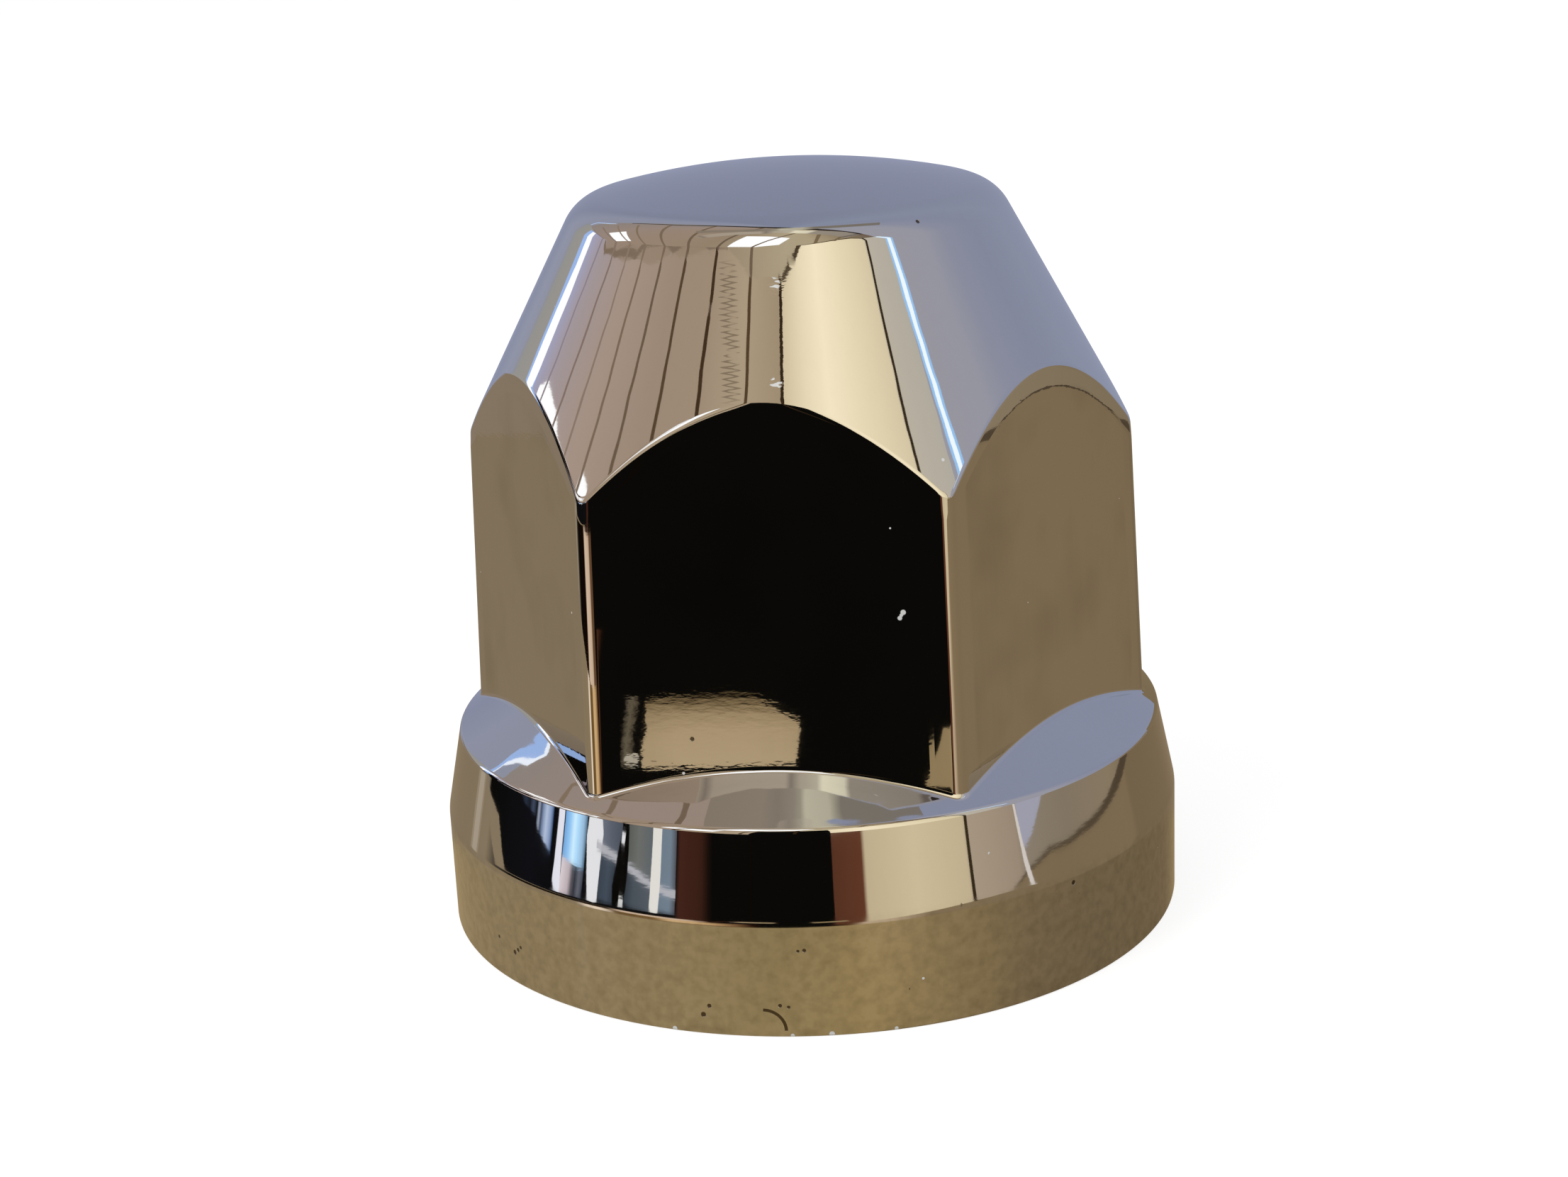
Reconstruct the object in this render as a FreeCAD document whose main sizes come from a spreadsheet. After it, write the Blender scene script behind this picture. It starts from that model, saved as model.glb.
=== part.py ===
import FreeCAD, Part
import math
import os
import re

import Sketcher

# Push-on cover cap for a wheel nut, moulded in one piece and open at the bottom.
# Millimetres, +Z up. The origin is the centre of the mouth, on the plane that the cap stands on.
# One flat of the hexagon faces -Y.
#
# The widths grow outwards from the nut: ribs, inner flats, wall, hexagon, rim, mouth.
# Heights are measured from the mouth.

NODE = "cap"
HEX_SIDES = 6
TOUCH = 0.01  # how near a measured place has to be to a computed one

SIZES = {
    # the nut, and the half-round ribs that grip it, two on each inner flat
    "nut_width": 33.0,
    "rib_bite": 0.1,
    "rib_height": 1.4,
    "rib_radius": 0.8,
    "rib_spacing": 10.0,
    "rib_top": 34.0,
    # the moulding
    "wall": 2.2,
    "hex_draft": 1.85,
    # the round flange: an upright skirt, a band that leans in, and a shoulder that falls from the hexagon
    "skirt_height": 7.5,
    "band_lean": 11.7,
    "rim_height": 13.1,
    "rim_ledge": 0.745,
    "shoulder_slope": 32.0,
    # the conical nose, which meets the middle of each flat at arc_height, and the domed end
    "arc_height": 38.1,
    "nose_half_angle": 28.3,
    "cap_height": 50.0,
    "dome_radius": 53.0,
    # the soft edges
    "crown_fillet": 3.3,
    "corner_fillet": 1.2,
    "arc_fillet": 1.2,
    "rim_chamfer": 0.25,
    "core_fillet": 0.8,
}

# Half widths and radii that follow from the sizes. HEX_ means half the width across the outer flats.
RIB_TIP = "(nut_width / 2 - rib_bite)"
HEX_AT_RIM = f"({RIB_TIP} + rib_height + wall / cos(hex_draft))"
HEX_AT_MOUTH = f"({HEX_AT_RIM} + rim_height * tan(hex_draft))"
HEX_AT_ARC = f"({HEX_AT_RIM} - (arc_height - rim_height) * tan(hex_draft))"
RIM_RADIUS = f"({HEX_AT_RIM} / cos(180 / {HEX_SIDES}) + rim_ledge)"
SKIRT_RADIUS = f"({RIM_RADIUS} + (rim_height - skirt_height) * tan(band_lean))"
SHOULDER_INNER_RADIUS = f"({HEX_AT_RIM} / 2)"
BLANK_RADIUS = f"({SKIRT_RADIUS} + wall)"
BLANK_HEIGHT = "(cap_height + wall)"

# The dome is part of a ball about BALL_LEVEL. CROWN_REACH is how far the centre of the crown's round
# stands from the ball's centre, square to the side of the cone, and CROWN_CLIMB is how far along it.
# A line from the ball's centre through the round's centre ends where the round meets the dome.
BALL_LEVEL = "(cap_height - dome_radius)"
CROWN_REACH = (f"({HEX_AT_ARC} * cos(nose_half_angle) + (arc_height - {BALL_LEVEL}) * sin(nose_half_angle)"
               " - crown_fillet)")
CROWN_CLIMB = f"sqrt((dome_radius - crown_fillet) ^ 2 - {CROWN_REACH} ^ 2)"
CROWN_RADIUS = f"({CROWN_REACH} * cos(nose_half_angle) - {CROWN_CLIMB} * sin(nose_half_angle))"
CROWN_RISE = f"({CROWN_REACH} * sin(nose_half_angle) + {CROWN_CLIMB} * cos(nose_half_angle))"
TO_DOME = "dome_radius / (dome_radius - crown_fillet)"

doc = FreeCAD.newDocument("wheel_nut_cover_cap")
sheet = doc.addObject("Spreadsheet::Sheet", "sizes")
for row, (alias, size) in enumerate(SIZES.items(), start=1):
    sheet.set(f"A{row}", alias)
    sheet.set(f"B{row}", str(size))
    sheet.setAlias(f"B{row}", alias)
doc.recompute()


def bound(formula):
    """The formula as another object reads it, with each size taken from the sheet."""
    return re.sub(r"\b[a-z_]+\b", lambda word: "sizes." + word[0] if word[0] in SIZES else word[0], formula)


def number(formula):
    """The value of a formula of sizes, as a plain number."""
    return float(sheet.evalExpression(bound(formula)))


# Sketches


def sketch_on(body, name, role):
    """An empty sketch on one of the body's own origin planes."""
    sketch = body.newObject("Sketcher::SketchObject", name)
    plane = next(item for item in body.Origin.OriginFeatures if item.Role == role)
    sketch.AttachmentSupport = [(plane, "")]
    sketch.MapMode = "FlatFace"
    return sketch


def drive(sketch, constraint, formula):
    """Adds a dimension to the sketch and binds it to a formula of sizes."""
    index = sketch.addConstraint(constraint)
    sketch.setExpression(f"Constraints[{index}]", bound(formula))


def pin(sketch, line, end, x_formula, y_formula):
    """Places one end of a line at formulas of sizes, measured from the sketch's origin."""
    for kind, axis, formula in (("DistanceX", -2, x_formula), ("DistanceY", -1, y_formula)):
        if formula == "0":
            sketch.addConstraint(Sketcher.Constraint("PointOnObject", line, end, axis))
        else:
            drive(sketch, Sketcher.Constraint(kind, -1, 1, line, end, number(formula)), formula)


def points_of(corners):
    """The places of corners that are given as pairs of formulas."""
    return [FreeCAD.Vector(number(x), number(y), 0) for x, y in corners]


def outline(sketch, corners, arcs={}):
    """A closed outline whose corners are pairs of formulas.

    Its sides are straight, apart from those that arcs gives a radius: they run anticlockwise from their
    corner to the next.
    """
    points = points_of(corners)
    sides = []
    for i, point in enumerate(points):
        following = points[(i + 1) % len(points)]
        side = Part.LineSegment(point, following)
        if i in arcs:
            radius = number(arcs[i])
            chord = following - point
            depth = math.sqrt(radius ** 2 - (chord.Length / 2) ** 2)
            centre = (point + following) / 2 + FreeCAD.Vector(-chord.y, chord.x, 0).normalize() * depth
            circle = Part.Circle(centre, FreeCAD.Vector(0, 0, 1), radius)
            side = Part.ArcOfCircle(circle, circle.parameter(point), circle.parameter(following))
        sides.append(sketch.addGeometry(side, False))
    for i, side in enumerate(sides):
        sketch.addConstraint(Sketcher.Constraint("Coincident", side, 2, sides[(i + 1) % len(sides)], 1))
        pin(sketch, side, 1, *corners[i])
        if i in arcs:
            drive(sketch, Sketcher.Constraint("Radius", side, number(arcs[i])), arcs[i])


def hexagon(sketch, half_width):
    """A regular hexagon around the origin, with two flats across the Y axis."""
    flat_reach = number(half_width)
    corner_reach = flat_reach / math.cos(math.pi / HEX_SIDES)
    turns = [2 * math.pi * i / HEX_SIDES for i in range(HEX_SIDES)]
    corners = [FreeCAD.Vector(math.cos(turn), math.sin(turn), 0) * corner_reach for turn in turns]
    circle = sketch.addGeometry(Part.Circle(FreeCAD.Vector(), FreeCAD.Vector(0, 0, 1), flat_reach), True)
    sketch.addConstraint(Sketcher.Constraint("Coincident", circle, 3, -1, 1))
    drive(sketch, Sketcher.Constraint("Radius", circle, flat_reach), half_width)
    sides = [
        sketch.addGeometry(Part.LineSegment(corner, corners[(i + 1) % HEX_SIDES]), False)
        for i, corner in enumerate(corners)
    ]
    for i, side in enumerate(sides):
        sketch.addConstraint(Sketcher.Constraint("Coincident", side, 2, sides[(i + 1) % HEX_SIDES], 1))
        sketch.addConstraint(Sketcher.Constraint("Tangent", side, circle))
    for side in sides[1:]:
        sketch.addConstraint(Sketcher.Constraint("Equal", sides[0], side))
    sketch.addConstraint(Sketcher.Constraint("Horizontal", sides[1]))


# Features


def turned(body, kind, name, corners, arcs={}, crosswise_at=None):
    """A profile turned as added (Revolution) or cut (Groove) material.

    It turns about the upright axis, or about a level one in its own plane where crosswise_at gives the
    height of that axis.
    """
    sketch = sketch_on(body, name + "_profile", "XZ_Plane")
    outline(sketch, corners, arcs)
    feature = body.newObject("PartDesign::" + kind, name)
    feature.Profile = sketch
    feature.ReferenceAxis = (sketch, ["V_Axis"])
    if crosswise_at:
        ends = points_of([("0", crosswise_at), (BLANK_RADIUS, crosswise_at)])
        axis = sketch.addGeometry(Part.LineSegment(*ends), True)
        pin(sketch, axis, 1, "0", crosswise_at)
        pin(sketch, axis, 2, BLANK_RADIUS, crosswise_at)
        feature.ReferenceAxis = (sketch, ["Axis0"])
    feature.Angle = 360
    doc.recompute()


def faces_where(feature, test):
    """The names of a feature's faces that pass a test."""
    return [f"Face{i}" for i, face in enumerate(feature.Shape.Faces, start=1) if test(face)]


def rounded(body, name, radius, test):
    """Rounds the edges of the body that pass a test."""
    base = body.Tip
    chosen = [f"Edge{i}" for i, edge in enumerate(base.Shape.Edges, start=1) if test(edge)]
    fillet = body.newObject("PartDesign::Fillet", name)
    fillet.Base = (base, chosen)
    fillet.setExpression("Radius", bound(radius))
    doc.recompute()


def lies_between(edge, lowest, highest):
    """Whether an edge lies between two heights, which are formulas."""
    return edge.BoundBox.ZMin > number(lowest) - TOUCH and edge.BoundBox.ZMax < number(highest) + TOUCH


def nosed_hexagon(body, inset, corner_radius, crowned=False):
    """The drafted hexagon under its cone and dome, with every face moved in by the inset.

    The dome is turned about a crosswise axis, which keeps the poles of its ball off the cap. The crown
    is the round between the cone and the dome, and without it they meet in a sharp ring.
    """
    sketch = sketch_on(body, body.Name + "_hexagon", "XY_Plane")
    hexagon(sketch, f"{HEX_AT_MOUTH} - {inset} / cos(hex_draft)")
    prism = body.newObject("PartDesign::Pad", body.Name + "_prism")
    prism.Profile = sketch
    prism.setExpression("Length", bound(BLANK_HEIGHT))
    doc.recompute()
    draft = body.newObject("PartDesign::Draft", body.Name + "_draft")
    draft.Base = (prism, faces_where(prism, lambda face: abs(face.normalAt(0, 0).z) < TOUCH))
    draft.NeutralPlane = (prism, faces_where(prism, lambda face: face.normalAt(0, 0).z < TOUCH - 1))
    draft.setExpression("Angle", bound("hex_draft"))
    doc.recompute()
    rounded(body, body.Name + "_corners", corner_radius, lambda edge: edge.BoundBox.ZLength > TOUCH)

    ball = f"(dome_radius - {inset})"
    ball_edge = f"{BALL_LEVEL} + sqrt({ball} ^ 2 - {BLANK_RADIUS} ^ 2)"
    above = f"(cap_height + {BLANK_RADIUS})"
    turned(body, "Groove", body.Name + "_dome", [
        (BLANK_RADIUS, ball_edge),
        (f"-{BLANK_RADIUS}", ball_edge),
        (f"-{BLANK_RADIUS}", above),
        (BLANK_RADIUS, above),
    ], arcs={0: ball}, crosswise_at=BALL_LEVEL)

    cone = f"({HEX_AT_ARC} - {inset} / cos(nose_half_angle))"
    cone_foot = (BLANK_RADIUS, f"arc_height + ({cone} - {BLANK_RADIUS}) / tan(nose_half_angle)")
    cone_end = [(f"{cone} + (arc_height - {BLANK_HEIGHT}) * tan(nose_half_angle)", BLANK_HEIGHT)]
    if crowned:
        cone_end = [
            (f"{CROWN_RADIUS} + crown_fillet * cos(nose_half_angle)",
             f"{BALL_LEVEL} + {CROWN_RISE} + crown_fillet * sin(nose_half_angle)"),
            (f"{CROWN_RADIUS} * {TO_DOME}", f"{BALL_LEVEL} + {CROWN_RISE} * {TO_DOME}"),
            (f"{CROWN_RADIUS} * {TO_DOME}", BLANK_HEIGHT),
        ]
    profile = [cone_foot, *cone_end, (BLANK_RADIUS, BLANK_HEIGHT)]
    turned(body, "Groove", body.Name + "_cone", profile, arcs={1: "crown_fillet"} if crowned else {})


def inset_corner(radius, height, lower_tilt, upper_tilt, inset):
    """A corner of a profile after both faces that meet there have moved in by the inset.

    A tilt is how far a face's outward normal points above the horizontal. The corner moves along the
    middle of the two normals.
    """
    mean = f"(({lower_tilt} + {upper_tilt}) / 2)"
    half = f"(({upper_tilt} - {lower_tilt}) / 2)"
    return (
        f"{radius} - {inset} * cos({mean}) / cos({half})",
        f"{height} - {inset} * sin({mean}) / cos({half})",
    )


def flange(body, inset, chamfered=False):
    """The round flange up to its shoulder, with every face but the mouth moved in by the inset."""
    rim = [inset_corner(RIM_RADIUS, "rim_height", "band_lean", "(90 - shoulder_slope)", inset)]
    if chamfered:
        rim = [
            (f"{RIM_RADIUS} + rim_chamfer * sin(band_lean)", "rim_height - rim_chamfer * cos(band_lean)"),
            (f"{RIM_RADIUS} - rim_chamfer * cos(shoulder_slope)",
             "rim_height + rim_chamfer * sin(shoulder_slope)"),
        ]
    rise = f"({RIM_RADIUS} - {SHOULDER_INNER_RADIUS}) * tan(shoulder_slope)"
    shoulder_top = f"(rim_height + {rise} - {inset} / cos(shoulder_slope))"
    turned(body, "Revolution", body.Name + "_flange", [
        ("0", "0"),
        (f"{SKIRT_RADIUS} - {inset}", "0"),
        inset_corner(SKIRT_RADIUS, "skirt_height", "0", "band_lean", inset),
        *rim,
        (SHOULDER_INNER_RADIUS, shoulder_top),
        ("0", shoulder_top),
    ])


def rib_slots(body):
    """The slots in the core that leave the ribs: a pair at one flat, repeated round the axis."""
    sketch = sketch_on(body, "rib_slots_plan", "XY_Plane")
    back = f"-{HEX_AT_MOUTH}"
    shoulder = f"-({RIB_TIP} + rib_radius)"
    for centre in ("-(rib_spacing / 2)", "(rib_spacing / 2)"):
        left = f"{centre} - rib_radius"
        right = f"{centre} + rib_radius"
        corners = [(left, shoulder), (left, back), (right, back), (right, shoulder)]
        points = points_of(corners)
        lines = [sketch.addGeometry(Part.LineSegment(points[i], points[i + 1]), False) for i in range(3)]
        circle = Part.Circle((points[0] + points[3]) / 2, FreeCAD.Vector(0, 0, 1), number("rib_radius"))
        tip = sketch.addGeometry(Part.ArcOfCircle(circle, 0, math.pi), False)
        for i in range(2):
            sketch.addConstraint(Sketcher.Constraint("Coincident", lines[i], 2, lines[i + 1], 1))
        sketch.addConstraint(Sketcher.Constraint("Tangent", lines[0], 1, tip, 2))
        sketch.addConstraint(Sketcher.Constraint("Tangent", lines[2], 2, tip, 1))
        for line, corner in zip(lines, corners):
            pin(sketch, line, 1, *corner)
    pair = body.newObject("PartDesign::Pocket", "rib_slots")
    pair.Profile = sketch
    pair.setExpression("Length", bound("rib_top"))
    pair.Reversed = True
    doc.recompute()
    ring = body.newObject("PartDesign::PolarPattern", "rib_slots_round")
    ring.Originals = [pair]
    ring.Axis = (sketch, ["N_Axis"])
    ring.Angle = 360
    ring.Occurrences = HEX_SIDES
    body.Tip = ring
    doc.recompute()


# The outside of the moulding, still solid

cap = doc.addObject("PartDesign::Body", "cap")
cap.Label = NODE
nosed_hexagon(cap, "0", "corner_fillet", crowned=True)
ABOVE_FLATS = f"(arc_height - {HEX_AT_ARC} / 2)"
rounded(cap, "arcs", "arc_fillet", lambda edge: lies_between(edge, ABOVE_FLATS, "arc_height"))
flange(cap, "0", chamfered=True)

# The core of the mould, which leaves the hollow and its ribs

core = doc.addObject("PartDesign::Body", "core")
nosed_hexagon(core, "wall", "core_fillet")
core_volume = core.Shape.Volume
rib_slots(core)
if core.Shape.Volume > core_volume - 1:
    raise SystemExit("the rib slots cut nothing")
flange(core, "wall")

hollow = cap.newObject("PartDesign::Boolean", "hollow")
hollow.Type = "Cut"
hollow.setObjects([core])
doc.recompute()

faults = [item.Name for item in doc.Objects if {"Invalid", "Error"} & set(item.State)]
if faults:
    raise SystemExit(f"these features failed: {faults}")
solid = cap.Shape
if solid.isNull() or not solid.isValid() or len(solid.Solids) != 1:
    raise SystemExit("the cap is not one valid solid")
os.makedirs("parts", exist_ok=True)
solid.exportStep(f"parts/{cap.Label}.step")
print(f"{cap.Label}: {solid.Volume / 1000:.2f} cm3, {len(solid.Faces)} faces, {solid.optimalBoundingBox()}")
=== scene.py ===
# %% [markdown]
# # A chromed cover cap for a wheel nut
#
# The cap is one plastic moulding, plated with bright chrome. It pushes over a wheel nut on a truck or van.
# Its outside is a hexagon under a blunt cone, standing on a round flange. It is hollow and open below.
#
# This lesson loads the measured frame, covers it with one smooth surface, plates that surface, and lights
# it with cards, the way a photographer lights anything that mirrors its surroundings.

# %% Load the frame
import math

import bpy
import numpy as np
from mathutils import Matrix, Vector


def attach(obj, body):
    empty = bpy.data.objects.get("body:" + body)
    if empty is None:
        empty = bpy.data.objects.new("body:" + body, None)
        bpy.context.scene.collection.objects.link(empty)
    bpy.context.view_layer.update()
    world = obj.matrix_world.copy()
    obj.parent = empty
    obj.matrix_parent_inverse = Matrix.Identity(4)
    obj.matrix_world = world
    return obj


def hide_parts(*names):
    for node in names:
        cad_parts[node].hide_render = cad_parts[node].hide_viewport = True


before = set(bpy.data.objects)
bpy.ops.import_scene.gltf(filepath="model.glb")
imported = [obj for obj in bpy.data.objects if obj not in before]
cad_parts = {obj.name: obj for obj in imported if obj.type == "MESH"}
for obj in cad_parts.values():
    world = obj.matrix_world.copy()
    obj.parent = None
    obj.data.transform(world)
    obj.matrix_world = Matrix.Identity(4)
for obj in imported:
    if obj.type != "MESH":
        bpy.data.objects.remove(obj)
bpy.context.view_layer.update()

print("nodes in the frame:", sorted(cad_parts))

# %% [markdown]
# ## The camera
#
# The camera comes first, because every later choice is judged through it. The photograph was taken from
# 18 cm away with a fairly long lens, a little above the cap and just right of the front flat.
# A camera looks along its own -Z with its +Y up, so its turn is written as three axes side by side.

# %% Set up the camera


def add(name, data):
    """A new object in the scene that holds the data."""
    thing = bpy.data.objects.new(name, data)
    bpy.context.scene.collection.objects.link(thing)
    return thing


MM = 0.001
CAMERA_AT = Vector((18.99, -168.58, 72.21)) * MM
CAMERA_LOOKS = Vector((-0.11438, 0.95076, -0.28803))
CAMERA_ROLL = math.radians(-2.61)
SENSOR_WIDTH, FOCAL_PIXELS, PHOTO_PIXELS = 36, 3673.51, 2212

camera = add("camera", bpy.data.cameras.new("camera"))
bpy.context.scene.camera = camera

level = CAMERA_LOOKS.cross(Vector((0, 0, 1))).normalized()
upright = level.cross(CAMERA_LOOKS).normalized()
across = level * math.cos(CAMERA_ROLL) + upright * math.sin(CAMERA_ROLL)
up = upright * math.cos(CAMERA_ROLL) - level * math.sin(CAMERA_ROLL)
turn = Matrix((across, up, -CAMERA_LOOKS.normalized())).transposed()
camera.matrix_world = Matrix.Translation(CAMERA_AT) @ turn.to_4x4()
camera.data.sensor_width = SENSOR_WIDTH
camera.data.lens = FOCAL_PIXELS / PHOTO_PIXELS * SENSOR_WIDTH
camera.data.clip_start = 0.01
print("lens in mm:", round(camera.data.lens, 2))

# %% [markdown]
# ## The shape of the cap
#
# A mirror shows every facet, so the render can't use the frame's own triangles. The cap could be built
# from a hexagonal prism with bevels, but bevels pile up where the arcs meet the corners. Instead the whole
# cap is one grid: a profile of radius and height, with the radius changing as the profile goes round.
# Every sharp corner of the profile is given a radius, and the profile runs from the top of the dome,
# down the outside, under the lip and up the inside again, so that the surface closes on itself.

# %% Sizes of the moulding
WALL = 2.2
HEX_DRAFT, CORNER_ROUND, CORE_ROUND = math.radians(1.85), 1.2, 0.8
NUT_HALF, RIB_BITE, RIB_HEIGHT, RIB_ROUND, RIB_OFFSET, RIB_TOP = 16.5, 0.1, 1.4, 0.8, 5.0, 34.0
SKIRT_HEIGHT, RIM_HEIGHT, ARC_HEIGHT, CAP_HEIGHT = 7.5, 13.1, 38.1, 50.0
BAND_LEAN, SHOULDER_SLOPE, NOSE_LEAN = math.radians(11.7), math.radians(32), math.radians(28.3)
NOSE_COS, NOSE_SIN, NOSE_TAN = math.cos(NOSE_LEAN), math.sin(NOSE_LEAN), math.tan(NOSE_LEAN)
DOME_ROUND, CROWN_ROUND = 53.0, 3.3
RIM_LEDGE, LIP_MIDDLE, LIP_HALF = 0.745, 23.9, 0.3

RIB_TIP = NUT_HALF - RIB_BITE
HEX_AT_RIM = RIB_TIP + RIB_HEIGHT + WALL / math.cos(HEX_DRAFT)
HEX_AT_ARC = HEX_AT_RIM - (ARC_HEIGHT - RIM_HEIGHT) * math.tan(HEX_DRAFT)
RIM_RADIUS = HEX_AT_RIM / math.cos(math.pi / 6) + RIM_LEDGE
SKIRT_RADIUS = RIM_RADIUS + (RIM_HEIGHT - SKIRT_HEIGHT) * math.tan(BAND_LEAN)
print(f"hexagon {2 * HEX_AT_RIM:.2f} mm across at the rim, flange {2 * SKIRT_RADIUS:.2f} mm across")

# %% A hexagon with rounded corners


def from_corner(turn):
    """Angle to the hexagon's nearest corner."""
    return np.abs((turn + math.pi / 6) % (math.pi / 3) - math.pi / 6)


def hexagon_radius(turn, half_width, corner):
    """Distance from the axis to a rounded hexagon, in the direction turn, with corners at 0, 60, ... degrees.

    On a flat it is the half width over the cosine of the angle from the middle of the flat. In a corner
    it is the far side of a circle of the corner's radius, whose centre lies on the corner's own line.
    """
    off_corner = from_corner(turn)
    centre = (half_width - corner) / math.cos(math.pi / 6)
    corner_ends = math.pi / 6 - np.arctan((half_width - corner) * math.tan(math.pi / 6) / half_width)
    flat = half_width / np.cos(math.pi / 6 - off_corner)
    across_circle = np.sqrt(np.maximum(corner ** 2 - (centre * np.sin(off_corner)) ** 2, 0))
    return np.where(off_corner < corner_ends, centre * np.cos(off_corner) + across_circle, flat)


def meeting_height(turn, half_width_at, corner, height_of, start):
    """Height at which the hexagon's side meets a cone.

    The hexagon leans only a little, so the height settles after a few rounds of asking the cone for the
    height that belongs to the hexagon's radius, and the hexagon for the radius at that height.
    """
    height = np.full_like(turn, start)
    for _ in range(12):
        height = height_of(hexagon_radius(turn, half_width_at(height), corner))
    return hexagon_radius(turn, half_width_at(height), corner), height


# %% A profile with rounded corners


def unit(vectors):
    """Vectors brought to length one."""
    return vectors / np.linalg.norm(vectors, axis=-1, keepdims=True)


def rounded_profile(corners, rounds, arc_steps, line_steps):
    """Rows of a profile that runs through corners, shaped (corners, columns, 2), with each one rounded.

    A round of radius R starts R times the tangent of half the turn before its corner. Along it the heading
    swings evenly, and the place moves by R times the change in the heading's sine and cosine.
    """
    steps = np.diff(corners, axis=0)
    directions = unit(steps)
    heading = np.arctan2(directions[..., 1], directions[..., 0])
    turns = (np.diff(heading, axis=0) + math.pi) % (2 * math.pi) - math.pi
    cut = np.zeros(corners.shape[:2] + (1,))
    cut[1:-1, :, 0] = np.array(rounds)[:, None] * np.tan(np.abs(turns) / 2)
    starts = corners[:-1] + directions * cut[:-1]
    ends = corners[1:] - directions * cut[1:]
    rows = [starts[:1]]
    for i, count in enumerate(line_steps):
        share = np.linspace(0, 1, count + 1)[1:, None, None]
        rows.append(starts[i] + (ends[i] - starts[i]) * share)
        if i < len(rounds) and rounds[i] > 0:
            swing = heading[i] + np.linspace(0, 1, arc_steps[i] + 1)[1:, None] * turns[i]
            moved = np.stack((np.sin(swing) - np.sin(heading[i]), np.cos(heading[i]) - np.cos(swing)), axis=2)
            rows.append(ends[i] + moved * (rounds[i] * np.sign(turns[i]))[:, None])
    return np.concatenate(rows)


# %% [markdown]
# ### The columns
#
# Each column of the grid runs down the cap at one angle round it. The corners of the hexagon are narrow and
# turn 60 degrees, so the columns crowd together there and spread out over the flats. The inside has its own
# angles, crowded at the ribs. Both lists are just as long, so the two meet at the mouth.

# %% Angles of the columns
HALF_SIDE = 31


def all_round(half_side):
    """Angles from one corner to the middle of its flat, mirrored in that middle and repeated six times."""
    side = np.concatenate((half_side, 60 - half_side[-2:0:-1]))
    return np.radians(np.concatenate([side + 60 * k for k in range(6)]))


CORNER_SPAN, CORNER_STEPS, GROWING_STEPS, GROWTH = 1.58, 8, 9, 1.25
first_step = CORNER_SPAN / CORNER_STEPS
growing = CORNER_SPAN + np.cumsum(first_step * GROWTH ** np.arange(1, GROWING_STEPS + 1))
outer_turns = all_round(np.concatenate((
    np.linspace(0, CORNER_SPAN, CORNER_STEPS + 1),
    growing,
    np.linspace(growing[-1], 30, HALF_SIDE - CORNER_STEPS - GROWING_STEPS + 1)[1:],
)))

rib_distance = math.hypot(RIB_OFFSET, RIB_TIP + RIB_ROUND)
rib_middle = 30 - math.degrees(math.atan(RIB_OFFSET / (RIB_TIP + RIB_ROUND)))
rib_reach = math.degrees(math.asin(RIB_ROUND / rib_distance))
BESIDE_RIB, INNER_CORNER_SPAN = 0.03, 1.15
inner_turns = all_round(np.concatenate((
    np.linspace(0, INNER_CORNER_SPAN, 7),
    np.linspace(INNER_CORNER_SPAN, rib_middle - rib_reach - BESIDE_RIB, 10)[1:],
    np.linspace(rib_middle - rib_reach, rib_middle + rib_reach, 9),
    np.linspace(rib_middle + rib_reach + BESIDE_RIB, 30, 7),
)))
print("columns outside and inside:", len(outer_turns), len(inner_turns))

# %% [markdown]
# ### The outside
#
# From the top: a dome that is part of a large ball, the round crown, the cone, the arc where the cone leaves
# each flat, the flat itself, the root where it stands on the shoulder, the rim, the leaning band and the
# upright skirt. The arcs aren't drawn. They are simply where a cone and a hexagon meet. Just below them
# each flat eases inwards a little, as moulded flats do, and that draws a second line along the arc.

# %% Profile of the outside


def up_the_nose(radius):
    """Height of the cone at a radius: it climbs by one over the tangent of its lean."""
    return ARC_HEIGHT + (HEX_AT_ARC - radius) / NOSE_TAN


def down_the_shoulder(radius):
    """Height of the shoulder at a radius: it falls outwards to the rim."""
    return RIM_HEIGHT + (RIM_RADIUS - radius) * math.tan(SHOULDER_SLOPE)


def flat_half_width(height):
    """Half the width across the flats, which shrinks upwards by the moulding's draft."""
    return HEX_AT_RIM - (height - RIM_HEIGHT) * math.tan(HEX_DRAFT)


ball_level = CAP_HEIGHT - DOME_ROUND
crown_reach = HEX_AT_ARC * NOSE_COS + (ARC_HEIGHT - ball_level) * NOSE_SIN - CROWN_ROUND
crown_climb = math.sqrt((DOME_ROUND - CROWN_ROUND) ** 2 - crown_reach ** 2)
crown_radius = crown_reach * NOSE_COS - crown_climb * NOSE_SIN
crown_height = ball_level + crown_reach * NOSE_SIN + crown_climb * NOSE_COS
dome_edge = math.atan2(crown_radius, crown_height - ball_level)


def arc_rows(centre_height, centre_radius, round_radius, tilts, columns):
    """Rows on an arc: the centre plus its radius times the sine and cosine of the tilt from upright."""
    places = np.stack((centre_radius + round_radius * np.sin(tilts),
                       centre_height + round_radius * np.cos(tilts)), axis=1)
    return np.repeat(places[:, None], columns, axis=1)


def corner_rows(turns, *corners):
    """Rows of corners. Each is a radius and a height, and either can be one number for all the columns."""
    return np.stack([np.stack(np.broadcast_arrays(*corner, turns)[:2], axis=1) for corner in corners])


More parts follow.
